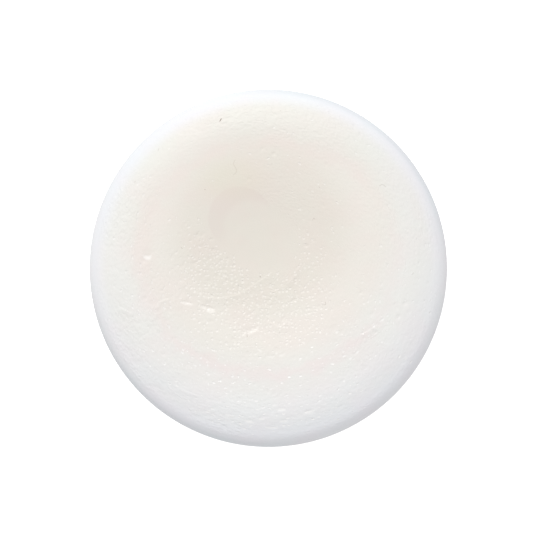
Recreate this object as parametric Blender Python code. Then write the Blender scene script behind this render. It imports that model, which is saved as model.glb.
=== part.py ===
"""Shaving soap puck: a single round cake of hard soap with a shallow dished top.

The puck is turned about +Z and stands on its flat base. The origin is the centre of the base.
Its outline is a chain of tangent arcs: a concave bowl in the middle of the top, a broad convex
crest around the bowl, a rounded shoulder, a straight side and a small round along the base.
"""
import math

import bmesh
import bpy

# Driving dimensions, in metres.
DIAMETER = 0.072
HEIGHT = 0.025  # base to the highest ring of the top, the crest
CREST_INSET = 0.009  # from the side in to the crest
DISH_DEPTH = 0.0019  # from the crest down to the middle of the top
BOWL_DIAMETER = 0.027  # the concave part of the dish, before it turns over towards the crest
CREST_OUTER_RADIUS = 0.017  # how the crest rounds over on its way out to the shoulder
SHOULDER_RADIUS = 0.0046
BASE_EDGE_RADIUS = 0.003

# How finely the outline and the turn are divided.
TURN_STEPS = 80
BOWL_STEPS = 4
RISE_STEPS = 5
FALL_STEPS = 4
SHOULDER_STEPS = 7
BASE_EDGE_STEPS = 4

MERGE_DISTANCE = 1e-6
SHARP_ANGLE = math.radians(40)
UP = math.pi / 2

# Off-white soap: a faint cream, lightly burnished.
SOAP_COLOUR = (0.83, 0.79, 0.71, 1.0)
SOAP_ROUGHNESS = 0.45


def arc(centre, radius, start, end, steps):
    """Points (radius from the axis, height) along an arc; angles run from +X towards +Z."""
    turns = [start + (end - start) * i / steps for i in range(steps + 1)]
    return [(centre[0] + radius * math.cos(t), centre[1] + radius * math.sin(t)) for t in turns]


def puck_outline():
    """Half of the puck's section, from the middle of the top, out and down to the base."""
    side = DIAMETER / 2
    crest = side - CREST_INSET

    # The bowl and the crest are circles that touch where the bowl ends.
    both_radii = (crest**2 + DISH_DEPTH**2) / (2 * DISH_DEPTH)
    bowl_radius = both_radii * (BOWL_DIAMETER / 2) / crest
    crest_radius = both_radii - bowl_radius
    tilt = math.asin(crest / both_radii)

    # The shoulder circle touches the crest's outer circle from inside, and the side.
    shoulder = side - SHOULDER_RADIUS
    between = CREST_OUTER_RADIUS - SHOULDER_RADIUS
    lean = math.asin((shoulder - crest) / between)
    shoulder_height = HEIGHT - CREST_OUTER_RADIUS + between * math.cos(lean)

    bowl_centre = (0.0, HEIGHT - DISH_DEPTH + bowl_radius)
    crest_centre = (crest, HEIGHT - crest_radius)
    outer_centre = (crest, HEIGHT - CREST_OUTER_RADIUS)
    shoulder_centre = (shoulder, shoulder_height)
    base_edge_centre = (side - BASE_EDGE_RADIUS, BASE_EDGE_RADIUS)

    outline = arc(bowl_centre, bowl_radius, -UP, -UP + tilt, BOWL_STEPS)
    outline += arc(crest_centre, crest_radius, UP + tilt, UP, RISE_STEPS)[1:]
    outline += arc(outer_centre, CREST_OUTER_RADIUS, UP, UP - lean, FALL_STEPS)[1:]
    outline += arc(shoulder_centre, SHOULDER_RADIUS, UP - lean, 0.0, SHOULDER_STEPS)[1:]
    outline += arc(base_edge_centre, BASE_EDGE_RADIUS, 0.0, -UP, BASE_EDGE_STEPS)
    outline.append((0.0, 0.0))
    return outline


def turned_mesh(name, outline):
    """A closed mesh made by turning the outline once about +Z."""
    shape = bmesh.new()
    points = [shape.verts.new((x, 0.0, z)) for x, z in outline]
    edges = [shape.edges.new(pair) for pair in zip(points, points[1:])]
    bmesh.ops.spin(
        shape,
        geom=points + edges,
        cent=(0, 0, 0),
        axis=(0, 0, 1),
        angle=2 * math.pi,
        steps=TURN_STEPS,
        use_merge=True,
    )
    bmesh.ops.remove_doubles(shape, verts=shape.verts, dist=MERGE_DISTANCE)
    bmesh.ops.recalc_face_normals(shape, faces=shape.faces)
    mesh = bpy.data.meshes.new(name)
    shape.to_mesh(mesh)
    shape.free()
    mesh.shade_smooth()
    mesh.set_sharp_from_angle(angle=SHARP_ANGLE)
    return mesh


def soap_material():
    material = bpy.data.materials.new("soap")
    material.use_nodes = True
    shader = material.node_tree.nodes["Principled BSDF"]
    shader.inputs["Base Color"].default_value = SOAP_COLOUR
    shader.inputs["Roughness"].default_value = SOAP_ROUGHNESS
    shader.inputs["Metallic"].default_value = 0.0
    return material


def soap_puck():
    mesh = turned_mesh("soap_puck", puck_outline())
    mesh.materials.append(soap_material())
    puck = bpy.data.objects.new("soap_puck", mesh)
    bpy.context.scene.collection.objects.link(puck)
    return puck


def clear_scene():
    for thing in list(bpy.data.objects):
        bpy.data.objects.remove(thing, do_unlink=True)


clear_scene()
soap_puck()
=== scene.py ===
import math

import bpy
import numpy as np
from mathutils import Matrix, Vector, noise


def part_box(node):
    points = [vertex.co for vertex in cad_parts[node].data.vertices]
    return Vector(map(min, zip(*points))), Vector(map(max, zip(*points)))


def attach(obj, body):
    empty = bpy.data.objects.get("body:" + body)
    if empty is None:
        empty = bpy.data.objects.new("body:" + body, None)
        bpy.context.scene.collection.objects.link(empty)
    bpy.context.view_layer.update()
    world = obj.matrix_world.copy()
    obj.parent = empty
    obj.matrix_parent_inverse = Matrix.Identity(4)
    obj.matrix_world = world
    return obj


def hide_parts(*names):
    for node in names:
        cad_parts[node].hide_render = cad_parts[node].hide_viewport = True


# The soap puck's looks. Lengths are in millimetres until a mesh is made, but the studio is in metres.
# Places on the top are (x, y) from the puck's axis, with +Y up the picture.
MM = 0.001
SEED = 20

# ---------------------------------------------------------------- the frame

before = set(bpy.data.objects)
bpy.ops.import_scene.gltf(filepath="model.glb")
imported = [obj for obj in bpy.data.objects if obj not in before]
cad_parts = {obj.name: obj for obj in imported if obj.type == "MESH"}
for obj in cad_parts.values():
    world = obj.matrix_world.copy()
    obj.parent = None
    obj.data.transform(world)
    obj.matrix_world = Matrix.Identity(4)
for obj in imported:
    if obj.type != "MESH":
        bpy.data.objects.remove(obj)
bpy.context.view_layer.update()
puck_low, puck_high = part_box("soap_puck")
SIDE = (puck_high.x - puck_low.x) / 2 / MM
HEIGHT = (puck_high.z - puck_low.z) / MM


def cad_outline():
    """The CAD puck's half section as (distance from axis, height), from the top's middle to the base's."""
    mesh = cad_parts["soap_puck"].data
    places = np.array([v.co for v in mesh.vertices]) / MM
    section = np.c_[np.hypot(places[:, 0], places[:, 1]), places[:, 2]]
    section = np.unique(np.round(section, 2), axis=0)
    order = np.argsort(np.arctan2(section[:, 0], section[:, 1] - HEIGHT / 2))
    section = section[order]
    gap = np.hypot(*np.diff(section, axis=0).T)
    section = section[np.r_[True, gap > 0.1]]
    return np.vstack([section, [0.0, section[-1, 1]]])


def smooth_section(points, step=0.05, blur=0.5):
    """The section resampled every step, and rounded by blur so that its facets don't show.

    It is closed through its mirror image while it is rounded, so both ends stay level.
    """
    loop = np.vstack([points, points[-2:0:-1] * (-1, 1), points[:1]])
    along = np.r_[0, np.cumsum(np.hypot(*np.diff(loop, axis=0).T))]
    count = int(along[-1] / step)
    even = np.arange(count) * along[-1] / count
    resampled = np.c_[np.interp(even, along, loop[:, 0]), np.interp(even, along, loop[:, 1])]
    waves = np.fft.rfftfreq(count, along[-1] / count) * 2 * math.pi
    softened = np.fft.rfft(resampled, axis=0) * np.exp(-0.5 * (waves * blur) ** 2)[:, None]
    section = np.fft.irfft(softened, count, axis=0)[: count // 2 + 1]
    section[0, 0] = section[-1, 0] = 0.0
    return section


SECTION = smooth_section(cad_outline())
ALONG = np.r_[0, np.cumsum(np.hypot(*np.diff(SECTION, axis=0).T))]
RISE = np.gradient(SECTION, ALONG, axis=0)
OUTWARD = np.c_[-RISE[:, 1], RISE[:, 0]]


def section_at(along, values=SECTION):
    """The section's (distance from axis, height), or its outward direction, at a way along it."""
    return np.c_[np.interp(along, ALONG, values[:, 0]), np.interp(along, ALONG, values[:, 1])]


# Where the shoulder has turned into the side, and where the base's edge ends at the flat base.
SHOULDER_END = float(ALONG[np.argmax(SECTION[:, 0] > SIDE - 0.02)])
BASE_START = float(ALONG[np.argmax((ALONG > SHOULDER_END) & (SECTION[:, 1] < 0.02))])

# ---------------------------------------------------------------- the puck's grid

TOP_EDGE = 0.93 * SIDE  # the finest part of the skin ends here, before the shoulder turns down
TOP_RINGS = 144
SHOULDER_ROWS = 8
SIDE_ROWS = 17
BASE_RINGS = TOP_RINGS // 4
RIM_SHARE = 0.3  # how much wider the top's rings get towards the shoulder


def disc_grid(rings):
    """A square grid of points laid onto a disc, as ring number and angle, with its quads.

    Ring k is a square of 8k points, spread evenly round a circle.
    """
    line = np.arange(-rings, rings + 1)
    i, j = np.meshgrid(line, line, indexing="ij")
    ring = np.maximum(abs(i), abs(j))
    safe = np.maximum(ring, 1)
    right = (abs(i) >= abs(j)) & (i > 0)
    left = (abs(i) >= abs(j)) & (i < 0)
    upper = (abs(j) > abs(i)) & (j > 0)
    eighth = np.where(right, j / safe, 0)
    eighth = np.where(upper, 2 - i / safe, eighth)
    eighth = np.where(left, 4 - j / safe, eighth)
    eighth = np.where(~right & ~left & ~upper, 6 + i / safe, eighth)
    angle = eighth * math.pi / 4
    width = 2 * rings + 1
    corner = (np.arange(width - 1)[:, None] * width + np.arange(width - 1)).ravel()
    quads = np.c_[corner, corner + width, corner + width + 1, corner + 1]
    return ring.ravel(), angle.ravel(), quads


def rim_order(ring, angle, rings):
    """The numbers of a disc's outermost points, in order of angle."""
    rim = np.flatnonzero(ring == rings)
    return rim[np.argsort(np.mod(angle[rim], 2 * math.pi))]


class Skin:
    """The puck's skin as it is laid down row by row: points as (way along the section, angle)."""

    def __init__(self):
        self.points = []
        self.faces = []
        self.total = 0

    def add_points(self, along, angle):
        self.points.append(np.c_[along, angle])
        self.total += len(angle)
        return np.arange(self.total - len(angle), self.total)

    def add_row(self, along, count):
        return self.add_points(np.full(count, along), np.arange(count) * 2 * math.pi / count)

    def halve(self, fine, coarse):
        """Faces from a row to one with half as many points."""
        fine_next = np.roll(fine, -1)
        a, b, c = fine[::2], fine_next[::2], fine_next[1::2]
        p, q = coarse, np.roll(coarse, -1)
        self.faces += np.vstack([np.c_[a, p, b], np.c_[b, p, q], np.c_[b, q, c]]).tolist()

    def join(self, upper, lower):
        """Faces between two rows of the same count."""
        self.faces += np.c_[upper, lower, np.roll(lower, -1), np.roll(upper, -1)].tolist()

    def sweep(self, row, ways):
        """Rows of the same count from row, one at each way along the section."""
        for along in ways:
            lower = self.add_row(along, len(row))
            self.join(row, lower)
            row = lower
        return row


def puck_skin():
    skin = Skin()
    ring, angle, quads = disc_grid(TOP_RINGS)
    share = ring / TOP_RINGS
    skin.add_points(TOP_EDGE * share * (1 - RIM_SHARE * (1 - share**2) / 2), angle)
    skin.faces += quads.tolist()
    top_rim = rim_order(ring, angle, TOP_RINGS)

    # Down the shoulder with half as many points in each row, and down the side with a quarter.
    ways = np.linspace(TOP_EDGE, SHOULDER_END, SHOULDER_ROWS + 1)[1:]
    row = skin.add_row(ways[0], len(top_rim) // 2)
    skin.halve(top_rim, row)
    row = skin.sweep(row, ways[1:])
    ways = np.linspace(SHOULDER_END, BASE_START, SIDE_ROWS + 1)[1:]
    lower = skin.add_row(ways[0], len(row) // 2)
    skin.halve(row, lower)
    row = skin.sweep(lower, ways[1:-1])

    # The flat base is a coarser disc, turned over.
    ring, angle, quads = disc_grid(BASE_RINGS)
    first = skin.total
    skin.add_points(ALONG[-1] - (ALONG[-1] - BASE_START) * ring / BASE_RINGS, angle)
    skin.faces += (quads[:, ::-1] + first).tolist()
    skin.join(row, rim_order(ring, angle, BASE_RINGS) + first)
    return np.vstack(skin.points), skin.faces


# ---------------------------------------------------------------- the puck's surface

WINDING = 1.6  # how many times longer the surface's marks are around the puck than across
CONE = math.sqrt(1 - 1 / WINDING**2)  # the rise, for each millimetre out, of the cone they are laid on
PIT_PITCH = 1.3  # between the spots where the mesh may have a hollow
PIT_STEEPNESS = 0.125  # how deep the material's fine pits are for their size
LEAN = 0.3  # how far the fine pits' deepest points are shifted towards +Y, as if dragged
RIPPLE_DEPTH = 0.07
PEEL_DEPTH = 0.085
GRAIN_DEPTH = 0.01
SIDE_WEAR_AND_GLINT = (0.14, 0.0, 0.9)  # below the shoulder: how pitted, how much painted highlight a dent's lower wall gets, how grained

# Parts of the top: x, y, half length, half width, degrees turned.
SMOOTH_PATCH = (-3.5, 7.4, 9.9, 6.4, -37)
CALM = (-12.0, 16.0, 13.0, 9.0, 40)  # the skin is nearly smooth here too, beyond the patch

# Where fine pits gather: x, y, half length, half width, degrees turned, how thickly.
PITTED = (
    (-11.5, -1.0, 10.5, 6.0, -28, 1.0),
    (-15.5, 5.5, 5.0, 5.5, 10, 0.8),
    (1.0, -8.0, 12.0, 5.5, 12, 0.85),
    (7.0, -8.0, 10.0, 8.0, 25, 0.75),
    (9.5, 4.0, 5.5, 8.5, -10, 0.5),
    (-23.0, -6.0, 7.0, 11.0, 30, 0.6),
    (-9.0, -11.0, 9.0, 4.0, -15, 0.55),
    (-15.0, -20.0, 15.0, 9.0, -30, 0.6),
    (0.0, -28.5, 19.0, 6.0, 0, 0.75),
    (18.0, -13.0, 9.0, 12.0, -30, 0.55),
    (-28.0, 8.0, 4.5, 16.0, -10, 0.5),
    (30.0, 4.0, 3.0, 14.0, 8, 0.35),
    (7.0, 17.0, 5.0, 5.0, 0, 0.3),
)

# Single round hollows: x, y, length, width, degrees turned, depth.
DENTS = (
    (-12.0, -7.3, 2.7, 2.0, -10, 0.06),
    (-16.2, -6.5, 2.2, 1.7, -12, 0.05),
    (5.1, -6.3, 1.7, 1.0, 30, 0.12),
    (7.5, 4.5, 1.3, 1.0, 0, 0.12),
    (-1.2, 23.7, 1.0, 0.8, 0, 0.10),
    (1.1, 22.7, 1.1, 0.9, 0, 0.12),
    (24.8, 19.5, 1.1, 0.9, 0, 0.08),
    (18.3, 26.7, 1.2, 0.8, -30, 0.10),
    (7.7, 30.3, 1.2, 0.8, -15, 0.10),
    (9.3, 30.6, 1.2, 0.8, -15, 0.10),
    (26.9, -7.0, 1.4, 0.9, 70, 0.10),
    (27.8, -8.8, 1.2, 0.8, 70, 0.09),
    (25.8, -9.6, 1.2, 0.8, 60, 0.09),
    (-25.7, -10.9, 1.0, 0.8, -60, 0.10),
    (-20.7, -17.1, 1.0, 0.8, -50, 0.10),
)

# Creased dents: x, y, length, width, degrees turned, depth, how far up (-1 to 1) the crease lies,
# and how strongly the lower wall, which faces the light, gets a painted highlight.
CREASED = (
    (-12.1, -7.9, 2.9, 1.15, -13, 0.11, 0.2, 0.75),
    (-11.4, -8.3, 1.8, 1.6, -16, 0.05, 0.1, 0.8),
    (-16.1, -6.9, 2.5, 0.95, -10, 0.08, 0.2, 0.6),
    (-3.7, -12.3, 3.5, 1.6, 16, 0.09, -0.1, 0.65),
    (-24.0, 2.8, 1.9, 2.6, 0, 0.12, -0.3, 0.7),
    (2.6, -28.0, 1.9, 0.6, 4, 0.09, 0.4, 1.0),
    (8.1, -28.5, 2.4, 0.75, 12, 0.13, 0.4, 1.0),
    (-1.3, -29.8, 1.4, 0.55, 0, 0.09, 0.4, 1.0),
    (-3.8, -30.4, 2.4, 0.55, -9, 0.09, 0.4, 1.0),
    (0.6, -31.7, 2.5, 0.55, 4, 0.08, 0.4, 1.0),
    (3.2, -30.4, 1.8, 0.55, 3, 0.08, 0.4, 1.0),
    (-7.7, -29.2, 1.7, 0.55, -15, 0.09, 0.4, 1.0),
    (1.3, -27.1, 1.0, 0.5, 0, 0.08, 0.4, 1.0),
    (-1.7, -16.3, 1.2, 0.6, -30, 0.06, 0.3, 0.8),
    (0.4, -17.5, 1.6, 0.6, 0, 0.06, 0.3, 0.8),
    (2.6, -17.2, 1.4, 0.5, 15, 0.05, 0.3, 0.8),
)

# Small scarps, each as its height and the points it runs through; it is higher on the right.
SCARP_HALF_WIDTH = 0.18
SCARP_REACH = 1.5
SCARPS = (
    (
        0.045,
        ((-16.6, -2.8), (-14.3, -4.8), (-11.1, -5.9), (-6.9, -5.4), (-4.6, -4.3), (-2.2, -2.8), (0.3, -1.1)),
    ),
    (0.06, ((3.9, -2.9), (4.7, -2.0), (5.5, -0.4))),
    (0.06, ((0.3, -10.7), (1.4, -11.2), (2.3, -11.7), (3.4, -10.8))),
    (0.07, ((18.6, -13.0), (19.8, -12.4), (21.0, -11.5))),
    (0.05, ((-17.4, -23.9), (-14.4, -25.1))),
    (0.05, ((-22.3, -7.7), (-21.4, -6.5), (-19.9, -6.1))),
    (0.06, ((-29.1, -7.9), (-27.1, -8.9))),
    (0.03, ((-5.1, -8.2), (-4.5, -9.4), (-3.1, -9.6), (-2.4, -8.7))),
)

# Fine fibres and specks lying in the soap, each as how dark it is and the points it runs through.
FIBRE_HALF_WIDTH = 0.055
FIBRE_REACH = 0.7
FIBRES = (
    (0.15, ((-6.6, 21.5), (-6.9, 20.7), (-6.3, 19.5), (-6.5, 18.9), (-7.0, 18.5))),
    (0.8, ((-9.7, 29.1), (-9.3, 29.7))),
    (0.8, ((-9.6, 29.2), (-9.4, 29.8))),
    (0.35, ((-4.3, -12.5), (-4.2, -13.7))),
    (0.5, ((-1.7, -1.6), (-1.5, -1.8))),
    (0.2, ((-22.0, 23.3), (-21.8, 23.9))),
    (0.2, ((-26.7, 17.1), (-26.3, 17.4))),
    (0.2, ((22.0, 16.3), (22.6, 16.6), (23.3, 16.1))),
    (0.2, ((8.8, 9.5), (9.0, 10.0), (9.3, 9.7))),
    (0.25, ((10.9, -7.3), (11.4, -7.2), (11.3, -6.7))),
    (0.2, ((28.4, -1.3), (28.8, -0.9))),
    (0.3, ((-12.7, 15.6), (-12.5, 15.6))),
    (0.3, ((-17.3, 4.1), (-17.1, 3.9))),
    (0.2, ((10.0, 16.2), (10.2, 16.0))),
    (0.2, ((2.3, 31.3), (2.5, 31.3))),
    (0.2, ((0.6, 20.7), (0.8, 20.7))),
    (0.2, ((9.8, -4.5), (10.0, -4.5))),
)


def curve_through(points, steps=6):
    """A smooth curve through the points, as closely spaced points."""
    ends = [points[0], *points, points[-1]]
    line = []
    for a, b, c, d in zip(ends, ends[1:], ends[2:], ends[3:]):
        a, b, c, d = (np.array(place) for place in (a, b, c, d))
        for t in np.arange(steps) / steps:
            cubic = (3 * b - a - 3 * c + d) * t**3 + (2 * a - 5 * b + 4 * c - d) * t**2
            line.append((cubic + (c - a) * t + 2 * b) / 2)
    return np.array([*line, points[-1]])


def line_map(x, y, lines, half_width, reach):
    """For each point: how far right of the nearest line, how far past its end, and its strength.

    Both distances are in half widths, and the strength is 0 out of reach of every line.
    """
    nearest = np.full(len(x), reach)
    found = np.zeros((len(x), 3))
    for strength, points in lines:
        line = curve_through(points)
        low, high = line.min(axis=0) - reach, line.max(axis=0) + reach
        near = np.flatnonzero((x > low[0]) & (x < high[0]) & (y > low[1]) & (y < high[1]))
        for start, end in zip(line, line[1:]):
            length = math.dist(start, end)
            ux, uy = (end - start) / length
            dx, dy = x[near] - start[0], y[near] - start[1]
            ahead = dx * ux + dy * uy
            right = dx * uy - dy * ux
            past = np.maximum(np.maximum(-ahead, ahead - length), 0)
            gap = np.hypot(right, past)
            closer = gap < nearest[near]
            nearest[near[closer]] = gap[closer]
            rows = np.c_[right / half_width, past / half_width, np.full(len(near), strength)]
            found[near[closer]] = rows[closer]
    return found


def waves(x, y, z, size):
    """Smooth uneven ground of that wavelength, from about -1 to 1, at points in space."""
    return np.array([noise.noise(Vector(place) / size) for place in zip(x, y, z)])


def rolling(x, y, size, layer):
    """The same on the flat, where each layer is other ground."""
    return waves(x, y, np.full(len(x), layer * 7.3 * size), size)


def swirling(x, y, size, layer):
    """The same, drawn out around the puck by laying it on a cone."""
    return waves(x / WINDING, y / WINDING, np.hypot(x, y) * CONE + layer * 7.3 * size, size)


def turned(x, y, spot):
    """The points as (lengthways, sideways) from an oval's middle, where 1 is its edge."""
    turn = math.radians(spot[4])
    dx = x - spot[0]
    dy = y - spot[1]
    u = (dx * math.cos(turn) + dy * math.sin(turn)) / spot[2]
    v = (dy * math.cos(turn) - dx * math.sin(turn)) / spot[3]
    return u, v


def oval(x, y, spot):
    """How far out each point is from an oval's middle, where 1 is its edge."""
    return np.hypot(*turned(x, y, spot))


def eased(value, low, high):
    """0 below low, 1 above high, and smooth between."""
    t = np.clip((value - low) / (high - low), 0, 1)
    return t * t * (3 - 2 * t)


def pitting(x, y):
    """How thickly pitted the top is at each point, from 0 to 1."""
    thick = 0.36 - 0.28 * eased(y, -6, 6)
    for spot in PITTED:
        thick = np.maximum(thick, spot[5] * (1 - eased(oval(x, y, spot), 0.6, 1.2)))
    thick += 0.12 * rolling(x, y, 6, 4)
    thick *= eased(oval(x, y, SMOOTH_PATCH), 0.85, 1.2)
    thick *= 1 - eased(np.hypot(x, y), 0.9 * SIDE, 0.97 * SIDE)
    return np.clip(thick, 0, 1)


class Dents:
    """Presses small hollows into a height map over the points (x, y)."""

    def __init__(self, x, y):
        self.order = np.argsort(x)
        self.x = x[self.order]
        self.y = y[self.order]
        self.height = np.zeros(len(x))
        self.lower_wall_glint = np.zeros(len(x))

    def press(self, x, y, length, width, degrees, depth, round_out=2.0):
        """One oval hollow: length and width across, its length turned that far from +X."""
        reach = max(length, width) / 2
        first, last = np.searchsorted(self.x, (x - reach, x + reach))
        spot = (x, y, length / 2, width / 2, degrees)
        out = oval(self.x[first:last], self.y[first:last], spot)
        self.height[first:last] -= depth * np.clip(1 - out * out, 0, None) ** round_out

    def crease(self, x, y, length, width, degrees, depth, rise, painted_sheen):
        """One dent that is deepest along a crease, rise of the way from its middle to its upper edge. Its
        lower wall, which faces the light, is marked for a painted highlight as strong as the last argument.
        """
        reach = max(length, width) / 2
        first, last = np.searchsorted(self.x, (x - reach, x + reach))
        u, v = turned(self.x[first:last], self.y[first:last], (x, y, length / 2, width / 2, degrees))
        half = np.sqrt(np.clip(1 - u * u, 1e-6, None))
        v = np.clip(v / half, -1, 1)
        lower = (v + 1) / (rise + 1)
        share = np.minimum(lower, (1 - v) / (1 - rise)) * (abs(u) < 1)
        self.height[first:last] -= depth * half * share
        # Painted highlight: the lower wall, which faces the light, is marked for a paler colour.
        wall = painted_sheen * (lower < 1.1) * eased(share, 0.0, 0.25)
        self.lower_wall_glint[first:last] = np.maximum(self.lower_wall_glint[first:last], wall)

    def result(self):
        """The height map, and the painted highlight on the creased dents' lower walls, in the points' first
        order.
        """
        height = np.empty((len(self.x), 2))
        height[self.order] = np.c_[self.height, self.lower_wall_glint]
        return height.T


def scattered(dice, pitch):
    """Spots at about that pitch all over the top, and how thickly pitted it is at each."""
    reach = int(SIDE / pitch) + 1
    i, j = np.mgrid[-reach : reach + 1, -reach : reach + 1]
    spots = np.stack([i + j % 2 / 2, j * math.sqrt(3) / 2]).reshape(2, -1)
    x, y = (spots + dice.uniform(-0.4, 0.4, spots.shape)) * pitch
    return x, y, pitting(x, y)


def top_surface(x, y):
    """At points laid flat: how far the top stands above its turned section, and its pitting, painted glints
    and grain.

    These are how thickly pitted it is, how much painted highlight a dent's lower wall gets, and how grained.
    The points' distances from the middle are the ways along the section.
    """
    thick = pitting(x, y)
    inside = 1 - eased(np.hypot(x, y), 0.85 * SIDE, SIDE)
    height = 0.05 * rolling(x, y, 11, 1)
    height += 0.012 * rolling(x, y, 3.4, 2) * inside
    height += 0.022 * swirling(x, y, 1.5, 3) * inside * eased(thick, 0.05, 0.6)
    dents = Dents(x, y)
    for dent in DENTS:
        dents.press(*dent)
    for dent in CREASED:
        dents.crease(*dent)
    dice = np.random.default_rng(SEED)
    for px, py, likely in zip(*scattered(dice, PIT_PITCH)):
        size = 0.7 + 0.4 * dice.random() ** 2
        stretch = 1 + dice.random() * min(1.0, math.hypot(px, py) / 20)
        degrees = math.degrees(math.atan2(py, px)) + 90 + dice.normal(0, 25)
        depth = size * (0.03 + 0.05 * dice.random())
        if dice.random() < likely * 0.25:
            dents.press(px, py, size * stretch, size, degrees, depth, 1.5)
    pressed, lower_wall_glint = dents.result()
    grained = eased(oval(x, y, SMOOTH_PATCH), 0.85, 1.3) * (0.8 + 0.6 * rolling(x, y, 9, 5))
    grained *= 0.35 + 0.65 * eased(oval(x, y, CALM), 0.6, 1.2)
    grained *= 1.4 - 0.4 * eased(x, -27, -17)
    grained *= 1 - eased(np.hypot(x, y), 0.94 * SIDE, 0.98 * SIDE)
    return height + pressed, np.c_[thick, lower_wall_glint, np.clip(grained, 0, 1.4)]


def bake_map(mesh, along, angle):
    """Lays the skin out flat: the top as a disc, the base as a smaller one, the side as a strip."""
    corners = np.empty(len(mesh.loops), dtype=int)
    mesh.loops.foreach_get("vertex_index", corners)
    starts = np.empty(len(mesh.polygons), dtype=int)
    counts = np.empty(len(mesh.polygons), dtype=int)
    mesh.polygons.foreach_get("loop_start", starts)
    mesh.polygons.foreach_get("loop_total", counts)
    a, t = along[corners], angle[corners] % (2 * math.pi)
    middle = np.repeat(np.add.reduceat(a, starts) / counts, counts)
    spread = np.repeat(np.maximum.reduceat(t, starts) - np.minimum.reduceat(t, starts), counts)
    round_again = (spread > math.pi) & (t < math.pi)
    on_top = 0.41 * a / SHOULDER_END
    u = 0.42 + on_top * np.cos(t)
    v = 0.58 + on_top * np.sin(t)
    side = (middle > SHOULDER_END) & (middle < BASE_START)
    way_down = (a - SHOULDER_END) / (BASE_START - SHOULDER_END)
    u = np.where(side, 0.01 + 0.97 * (t / (2 * math.pi) + round_again), u)
    v = np.where(side, 0.15 - 0.13 * way_down, v)
    base = middle > BASE_START
    on_base = 0.07 * (ALONG[-1] - a) / (ALONG[-1] - BASE_START)
    u = np.where(base, 0.92 + on_base * np.cos(t), u)
    v = np.where(base, 0.9 + on_base * np.sin(t), v)
    layer = mesh.uv_layers.new(name="OFBake")
    layer.uv.foreach_set("vector", np.c_[u, v].ravel())


def puck_mesh():
    skin, faces = puck_skin()
    along, angle = skin.T
    place = section_at(along)
    out = section_at(along, OUTWARD)
    x = along * np.cos(angle)
    y = along * np.sin(angle)
    height = np.zeros(len(along))
    wear_and_glint = np.tile(SIDE_WEAR_AND_GLINT, (len(along), 1))
    scarps = np.zeros((len(along), 3))
    fibres = np.zeros((len(along), 3))
    top = along < SHOULDER_END
    height[top], wear_and_glint[top] = top_surface(x[top], y[top])
    scarps[top] = line_map(x[top], y[top], SCARPS, SCARP_HALF_WIDTH, SCARP_REACH)
    fibres[top] = line_map(x[top], y[top], FIBRES, FIBRE_HALF_WIDTH, FIBRE_REACH)
    height *= 1 - eased(along, SHOULDER_END - 3, SHOULDER_END)
    below_shoulder = eased(along, SHOULDER_END - 2, SHOULDER_END + 3)
    on_side = below_shoulder * (1 - eased(along, BASE_START - 4, BASE_START))
    round_x = place[:, 0] * np.cos(angle)
    round_y = place[:, 0] * np.sin(angle)
    height += 0.05 * waves(round_x, round_y, place[:, 1], 12) * on_side
    height += 0.02 * waves(round_x, round_y, place[:, 1], 4) * on_side
    reach = place[:, 0] + out[:, 0] * height
    rise = place[:, 1] + out[:, 1] * height
    points = np.c_[reach * np.cos(angle), reach * np.sin(angle), rise] * MM
    mesh = bpy.data.meshes.new("soap_cake")
    mesh.from_pydata(points.tolist(), [], faces)
    mesh.shade_smooth()
    # The first attribute's Y is the painted highlight on the creased dents' lower walls.
    for name, values in (("wear_and_glint", wear_and_glint), ("scarp", scarps), ("fibre", fibres)):
        mesh.attributes.new(name, "FLOAT_VECTOR", "POINT").data.foreach_set("vector", values.ravel())
    bake_map(mesh, along, angle)
    return mesh


# ---------------------------------------------------------------- soap

WARM_MIDDLE = (-1.6, 8.0)
WARM_REACH = 44.0
# The cream's colours, from 0 at the warm middle to 1 at its reach; the cooler outer stops are partly the
# soap's paler edge and partly painted bluish reflection.
CREAM = (
    (0.0, (0.781, 0.734, 0.670)),
    (0.28, (0.787, 0.741, 0.679)),
    (0.50, (0.826, 0.786, 0.737)),
    (0.70, (0.824, 0.811, 0.79)),
    (0.85, (0.83, 0.829, 0.84)),
    (0.93, (0.835, 0.842, 0.875)),
)
# A painted bluish reflection on the rim, strongest on its lit side.
RIM_REFLECTION_TINT = (0.808, 0.811, 0.842)
PLAIN_SIDE = (0.785, 0.775, 0.755)
# Painted highlight colours for the hollows, in the dish and further out.
GLINT_INSIDE = (0.95, 0.915, 0.865)
GLINT_OUTSIDE = (0.95, 0.94, 0.925)
FIBRE_BROWN = (0.16, 0.09, 0.05)

CRESCENT = (-5.6, 9.9, 6.3)  # x, y and radius of its outer edge
CRESCENT_INSIDE = (-3.5, 8.3, 5.6)  # and of the round that is left out of it
YELLOW_PATCH = (-7.0, 17.5, 8.0, 5.0)  # x, y, half length, half width
PINK_RING = (0.0, 2.0, 25.3, 23.0)  # x, y, half width, half height
ROUND_PITS = (-2.5, -3.5, 12.5, 16.0)  # x, y, and from how far out to how far the round pits fade out


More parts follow.
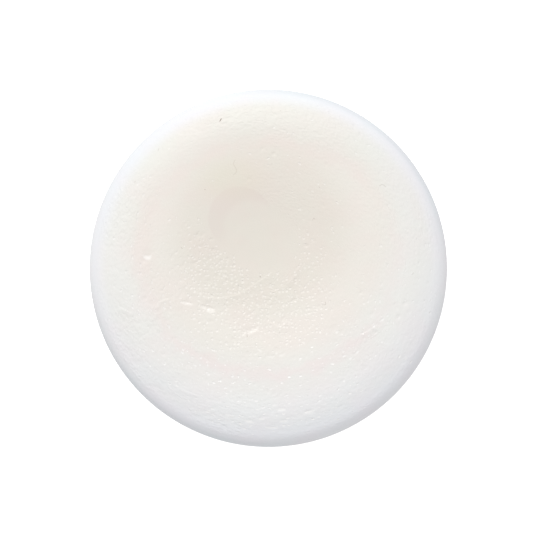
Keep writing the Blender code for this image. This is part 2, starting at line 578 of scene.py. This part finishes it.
class Shader:
    """Short ways to build one material's nodes."""

    def __init__(self, name):
        self.material = bpy.data.materials.new(name)
        self.material.use_nodes = True
        self.tree = self.material.node_tree
        self.surface = self.tree.nodes["Principled BSDF"]

    def add(self, kind, inputs=None, output=0, **settings):
        """One node; its inputs are values, or other nodes' outputs to link."""
        node = self.tree.nodes.new("ShaderNode" + kind)
        for name, value in settings.items():
            setattr(node, name, value)
        for name, value in (inputs or {}).items():
            self.give(node.inputs[name], value)
        return node.outputs[output]

    def give(self, socket, value):
        if isinstance(value, bpy.types.NodeSocket):
            self.tree.links.new(value, socket)
        else:
            socket.default_value = value

    def maths(self, operation, *values):
        return self.add("Math", dict(enumerate(values)), operation=operation)

    def vector(self, operation, *values, output=0):
        return self.add("VectorMath", dict(enumerate(values)), output, operation=operation)

    def product(self, first, *others):
        for other in others:
            first = self.maths("MULTIPLY", first, other)
        return first

    def noise(self, place, scale, detail, output=0):
        """Cloudy values from 0 to 1, or cloudy colours where output is 1."""
        return self.add("TexNoise", {"Vector": place, "Scale": scale, "Detail": detail}, output)

    def axes(self, vector):
        return self.add("SeparateXYZ", {"Vector": vector}).node.outputs

    def ramp(self, value, low, high, start=0.0, end=1.0):
        """start to end as the value goes from low to high, smoothly."""
        limits = {"Value": value, "From Min": low, "From Max": high, "To Min": start, "To Max": end}
        return self.add("MapRange", limits, interpolation_type="SMOOTHSTEP")

    def scaled(self, value, by):
        node = self.vector("SCALE", value).node
        node.inputs["Scale"].default_value = by
        return node.outputs[0]

    def distance(self, flat, middle):
        """How far each flat place is from a point on the top."""
        return self.vector("LENGTH", self.vector("SUBTRACT", flat, (*middle, 0)), output="Value")

    def parts(self, attribute):
        """The X, Y and Z of one of the mesh's attributes."""
        return self.axes(self.add("Attribute", attribute_name=attribute, output=1))

    def mix(self, share, first, second, **settings):
        """The first colour where share is 0, the second where it is 1."""
        inputs = {"Fac": share}
        for name, colour in (("Color1", first), ("Color2", second)):
            inputs[name] = (*colour, 1) if isinstance(colour, tuple) else colour
        return self.add("MixRGB", inputs, **settings)

    def tinted(self, colour, share, tint):
        return self.mix(share, colour, tint, blend_type="MULTIPLY")

    def colours(self, value, stops):
        """A colour ramp through (position, colour) stops."""
        node = self.tree.nodes.new("ShaderNodeValToRGB")
        node.color_ramp.interpolation = "EASE"
        band = node.color_ramp.elements
        while len(band) < len(stops):
            band.new(0.5)
        for element, (position, colour) in zip(band, stops):
            element.position = position
            element.color = (*colour, 1)
        self.give(node.inputs["Fac"], value)
        return node.outputs["Color"]


def pits(s, place, scale, thick, smallest, largest, **settings):
    """Small round hollows at random spots, scale of them to a millimetre.

    Gives how deep each point is, in proportion to the hollow's size, and where the hollows are.
    """
    spread = {"Vector": place, "Scale": scale, "Randomness": 0.85}
    cells = s.add("TexVoronoi", spread, **settings).node
    dice = s.add("SeparateColor", {"Color": cells.outputs["Color"]}).node.outputs
    there = s.maths("LESS_THAN", dice["Red"], thick)
    size = s.maths("MULTIPLY_ADD", dice["Green"], largest - smallest, smallest)
    out = s.maths("DIVIDE", cells.outputs["Distance"], size)
    dip = s.maths("SUBTRACT", 1.0, s.maths("MULTIPLY", out, out))
    dip.node.use_clamp = True
    middle = s.vector("SUBTRACT", place, cells.outputs["Position"])
    up = s.axes(middle)["Y"]
    lean = s.maths("MULTIPLY_ADD", s.maths("DIVIDE", up, size), LEAN * scale, 1.0)
    return s.product(dip, size, lean, there), s.product(s.ramp(out, 0.8, 1.05, 1.0, 0.0), there)


def rim_tints(s, cream, part, flat, from_axis):
    """Painted light on the rim: a cooler painted reflection, strongest towards +Y, painted shade in places,
    and a paler painted sheen round the shoulder.
    """
    # Painted bluish reflection, strongest on the lit side towards +Y.
    cool_reflection = s.product(s.ramp(from_axis, SIDE - 4.5, SIDE - 1.0), s.ramp(part["Y"], -28.0, 12.0, 0.0, 0.9))
    cream = s.mix(cool_reflection, cream, RIM_REFLECTION_TINT)
    # Painted shade on the upper shoulder, where the light falls most strongly.
    upper_shade = s.product(s.ramp(from_axis, SIDE - 14.0, SIDE - 6.0), s.ramp(part["Y"], 0.0, 25.0))
    cream = s.tinted(cream, upper_shade, (0.965, 0.983, 0.985))
    # A paler painted sheen in a band round the shoulder.
    painted_sheen = s.ramp(from_axis, SIDE - 4.2, SIDE - 2.4)
    painted_sheen = s.product(painted_sheen, s.ramp(from_axis, SIDE - 1.6, SIDE - 0.4, 1.0, 0.0))
    cream = s.tinted(cream, painted_sheen, (1.020, 1.015, 1.024))
    # Painted shade: the edge itself is darker on two opposite sides.
    across = s.vector("DOT_PRODUCT", flat, (0.6, 0.8, 0), output="Value")
    edge = s.ramp(s.maths("ABSOLUTE", across), SIDE - 16.0, SIDE - 3.0)
    edge = s.product(edge, s.ramp(from_axis, SIDE - 2.0, SIDE - 0.5))
    return s.tinted(cream, edge, (0.91, 0.93, 0.94))


def crescent_tint(s, cream, flat):
    """A darker crescent at the smooth patch's upper end, which fades out downwards."""
    x, y, radius = CRESCENT
    outline = s.ramp(s.distance(flat, (x, y)), radius - 0.3, radius + 0.3, 1.0, 0.0)
    upward = s.vector("SUBTRACT", flat, (x, y, 0))
    upward = s.vector("DOT_PRODUCT", upward, (-0.5, 0.87, 0), output="Value")
    x, y, radius = CRESCENT_INSIDE
    hole = s.ramp(s.distance(flat, (x, y)), radius - 1.2, radius + 0.4)
    crescent = s.product(outline, hole, s.ramp(upward, -3.5, 1.5))
    return s.tinted(cream, crescent, (0.980, 0.965, 0.972))


def yellow_tint(s, cream, flat):
    """A yellower patch above the crescent."""
    x, y, half_length, half_width = YELLOW_PATCH
    spot = s.vector("SUBTRACT", flat, (x, y, 0))
    spot = s.vector("MULTIPLY", spot, (1 / half_length, 1 / half_width, 0))
    yellow = s.ramp(s.vector("LENGTH", spot, output="Value"), 0.3, 1.2, 1.0, 0.0)
    return s.tinted(cream, yellow, (0.99, 0.99, 0.96))


def pink_tint(s, cream, part, place, flat):
    """A thin ragged pinker ring around the dish, strongest towards -Y."""
    x, y, half_width, half_height = PINK_RING
    squash = half_width / half_height
    circle = s.vector("MULTIPLY", flat, (1, squash, 1))
    off = s.maths("SUBTRACT", s.distance(circle, (x, y * squash)), half_width)
    ragged = s.maths("SUBTRACT", s.noise(place, 0.35, 4.0), 0.5)
    off = s.maths("ABSOLUTE", s.maths("MULTIPLY_ADD", ragged, 5.5, off))
    pink = s.product(s.ramp(off, 0.2, 2.2, 1.0, 0.0), s.ramp(part["Y"], -16.0, -5.0, 1.0, 0.5))
    return s.tinted(cream, pink, (1.012, 0.970, 0.977))


def soap_colour(s, place, flat, from_axis):
    """Warm cream in the dish, paler and cooler towards the rim, partly as painted bluish reflection, and
    plain below the shoulder.
    """
    part = s.axes(place)
    cream = s.colours(s.maths("DIVIDE", s.distance(flat, WARM_MIDDLE), WARM_REACH), CREAM)
    cream = rim_tints(s, cream, part, flat, from_axis)
    cream = crescent_tint(s, cream, flat)
    cream = yellow_tint(s, cream, flat)
    cream = pink_tint(s, cream, part, place, flat)
    cream = s.mix(s.ramp(part["Z"], HEIGHT - 17.0, HEIGHT - 2.5), PLAIN_SIDE, cream)
    # Faint cloudy patches, some pinker and some greener.
    clouds = [(0.35, (1.0, 0.985, 0.982)), (0.65, (0.990, 1.0, 0.990))]
    return s.tinted(cream, 1.0, s.colours(s.noise(place, 0.15, 3.0), clouds))


def fibre_share(s):
    """How far each point is covered by a thin fibre or speck."""
    part = s.parts("fibre")
    gap = s.vector("LENGTH", s.add("CombineXYZ", {"X": part["X"], "Y": part["Y"]}), output="Value")
    return s.product(s.ramp(gap, 0.6, 1.6, 1.0, 0.0), part["Z"])


def wound_round(s, place, flat, from_axis, down):
    """Places laid on a cone that goes on down the side, so that marks are drawn out round the puck.

    They are disturbed a little, and the disturbance is given too.
    """
    wobble = s.vector("SUBTRACT", s.noise(place, 1.3, 1.0, output=1), (0.5, 0.5, 0.5))
    wobble = s.scaled(wobble, 0.5)
    way = s.product(s.maths("ADD", from_axis, down), CONE)
    wound = s.vector("ADD", s.scaled(flat, 1 / WINDING), s.add("CombineXYZ", {"Z": way}))
    return s.vector("ADD", wound, wobble), wobble


def scarp_height(s):
    """The small scarps, which fade out again away from the edge and past their ends."""
    part = s.parts("scarp")
    away = s.maths("ABSOLUTE", part["X"])
    step = s.product(s.ramp(part["X"], -1.0, 1.0), s.ramp(away, 0.8, 7.5, 1.0, 0.0))
    return s.product(step, s.ramp(part["Y"], 0.0, 4.0, 1.0, 0.0), part["Z"])


def ripple_height(s, wound, from_axis, grained):
    """Fine ripples all over the grained skin, and a coarser peel inside the shoulder."""
    ripple = s.product(s.noise(wound, 2.2, 1.5), grained, RIPPLE_DEPTH)
    shoulder = s.product(s.ramp(from_axis, SIDE - 14.0, SIDE - 6.0), grained)
    peel = s.product(s.noise(wound, 1.1, 1.0), shoulder, PEEL_DEPTH)
    return s.maths("ADD", peel, ripple)


def soap_material():
    s = Shader("soap_skin")
    place = s.scaled(s.add("TexCoord", output="Object"), 1 / MM)
    part = s.axes(place)
    flat = s.vector("MULTIPLY", place, (1, 1, 0))
    from_axis = s.vector("LENGTH", flat, output="Value")
    down = s.maths("SUBTRACT", HEIGHT, part["Z"])
    wound, wobble = wound_round(s, place, flat, from_axis, down)

    # Fine pits: round in the dish, drawn out around the puck further out, and tiny ones among them.
    wear_and_glint = s.parts("wear_and_glint")
    inside = s.ramp(s.distance(flat, ROUND_PITS[:2]), *ROUND_PITS[2:], 1.0, 0.0)
    thick_in = s.product(wear_and_glint["X"], inside)
    thick_out = s.maths("SUBTRACT", wear_and_glint["X"], thick_in)
    near = s.vector("ADD", flat, wobble)
    deep_in, glint_in = pits(s, near, 1.15, thick_in, 0.22, 0.38, voronoi_dimensions="2D")
    deep_out, glint_out = pits(s, wound, 1.3, s.product(thick_out, 0.8), 0.18, 0.34)
    tiny, glint_tiny = pits(s, wound, 2.1, s.product(wear_and_glint["X"], 0.6), 0.20, 0.36)
    dip = s.product(s.maths("MULTIPLY_ADD", deep_out, 1.3, deep_in), PIT_STEEPNESS)
    dip = s.maths("MULTIPLY_ADD", tiny, PIT_STEEPNESS / 1.4, dip)

    skin = s.maths("SUBTRACT", scarp_height(s), dip)
    skin = s.maths("ADD", ripple_height(s, wound, from_axis, wear_and_glint["Z"]), skin)
    skin = s.maths("MULTIPLY_ADD", s.noise(place, 3.0, 3.0), GRAIN_DEPTH, skin)

    # The hollows are painted paler as painted highlights, and are shinier than the skin around them, most of
    # all those towards -Y; the creased dents' lower walls get the same painted highlight.
    glint_spread = s.product(s.ramp(part["Y"], -18.0, 0.0, 0.65, 0.22), s.ramp(down, 1.0, 6.0, 1.0, 0.35))
    glint_and_gloss = s.maths("MAXIMUM", s.product(glint_in, 0.28), s.product(glint_out, glint_spread))
    glint_and_gloss = s.maths("MAXIMUM", glint_and_gloss, s.product(glint_tiny, glint_spread, 0.55))
    glint_and_gloss = s.maths("MAXIMUM", glint_and_gloss, s.product(wear_and_glint["Y"], 0.62))
    colour = s.mix(fibre_share(s), soap_colour(s, place, flat, from_axis), FIBRE_BROWN)
    painted_sheen = s.mix(s.ramp(from_axis, SIDE - 24.0, SIDE - 10.0), GLINT_INSIDE, GLINT_OUTSIDE)
    dull = s.ramp(s.noise(place, 0.5, 3.0), 0.3, 0.7, 0.52, 0.60)

    # The base colour gets the painted highlights in the hollows.
    s.give(s.surface.inputs["Base Color"], s.mix(glint_and_gloss, colour, painted_sheen))
    s.give(s.surface.inputs["Normal"], s.add("Bump", {"Height": skin, "Distance": MM, "Strength": 1.0}))
    s.give(s.surface.inputs["Roughness"], s.maths("MULTIPLY_ADD", glint_and_gloss, -0.55, dull))
    s.give(s.surface.inputs["IOR"], 1.46)
    return s.material


def soap_puck():
    mesh = puck_mesh()
    mesh.materials.append(soap_material())
    puck = bpy.data.objects.new("soap_cake", mesh)
    bpy.context.scene.collection.objects.link(puck)
    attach(puck, "root")
    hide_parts("soap_puck")
    return puck


# ---------------------------------------------------------------- the studio

KEY_AZIMUTH = math.radians(105)
KEY_ELEVATION = math.radians(50)
KEY_DISTANCE = 0.9
KEY_SIZE = 0.4
KEY_LIGHT = 0.396  # what the key adds to a level white surface
SKY_LIGHT = 0.66
FLOOR_GLOW = 0.75
FLOOR_REACH = 4.0
FLOOR_GAP = 0.02 * MM  # keeps the floor just clear of the base
EYE = (-0.00037, 0.00034, 0.3175)


def floor():
    mesh = bpy.data.meshes.new("studio_floor")
    corners = [(x * FLOOR_REACH, y * FLOOR_REACH, 0) for x, y in ((-1, -1), (1, -1), (1, 1), (-1, 1))]
    mesh.from_pydata(corners, [], [(0, 1, 2, 3)])
    s = Shader("studio_white")
    s.give(s.surface.inputs["Base Color"], (0.97, 0.97, 0.97, 1))
    s.give(s.surface.inputs["Roughness"], 0.9)
    s.give(s.surface.inputs["Specular IOR Level"], 0.0)
    # The sheet glows a little where it is seen, but lights nothing.
    s.give(s.surface.inputs["Emission Color"], (1, 1, 1, 1))
    seen = s.add("LightPath").node.outputs["Is Camera Ray"]
    s.give(s.surface.inputs["Emission Strength"], s.maths("MULTIPLY", seen, FLOOR_GLOW))
    mesh.materials.append(s.material)
    plane = bpy.data.objects.new("studio_floor", mesh)
    plane.location.z = puck_low.z - FLOOR_GAP
    bpy.context.scene.collection.objects.link(plane)


def key_light():
    lamp = bpy.data.lights.new("key", "AREA")
    lamp.shape = "DISK"
    lamp.size = KEY_SIZE
    # What it adds to a level white surface is power * sin(elevation) / (pi * distance)^2.
    lamp.energy = KEY_LIGHT * math.pi**2 * KEY_DISTANCE**2 / math.sin(KEY_ELEVATION)
    light = bpy.data.objects.new("key", lamp)
    towards = Vector(
        (
            math.cos(KEY_AZIMUTH) * math.cos(KEY_ELEVATION),
            math.sin(KEY_AZIMUTH) * math.cos(KEY_ELEVATION),
            math.sin(KEY_ELEVATION),
        )
    )
    light.location = towards * KEY_DISTANCE
    light.rotation_mode = "QUATERNION"
    light.rotation_quaternion = towards.to_track_quat("Z", "Y")
    bpy.context.scene.collection.objects.link(light)


def sky():
    world = bpy.data.worlds.new("studio")
    world.use_nodes = True
    tree = world.node_tree
    soft = tree.nodes["Background"]
    soft.inputs["Color"].default_value = (SKY_LIGHT, SKY_LIGHT, SKY_LIGHT, 1)
    white = tree.nodes.new("ShaderNodeBackground")
    seen = tree.nodes.new("ShaderNodeLightPath")
    mix = tree.nodes.new("ShaderNodeMixShader")
    tree.links.new(seen.outputs["Is Camera Ray"], mix.inputs["Fac"])
    tree.links.new(soft.outputs["Background"], mix.inputs[1])
    tree.links.new(white.outputs["Background"], mix.inputs[2])
    tree.links.new(mix.outputs["Shader"], tree.nodes["World Output"].inputs["Surface"])
    white.inputs["Color"].default_value = (1, 1, 1, 1)
    bpy.context.scene.world = world


def camera():
    lens = bpy.data.cameras.new("camera")
    lens.sensor_width = 36.0
    lens.lens = 100.0
    lens.clip_start = 0.01
    eye = bpy.data.objects.new("camera", lens)
    eye.location = EYE
    bpy.context.scene.collection.objects.link(eye)
    bpy.context.scene.camera = eye


soap_puck()
floor()
key_light()
sky()
camera()
bpy.context.scene.view_settings.view_transform = "Standard"
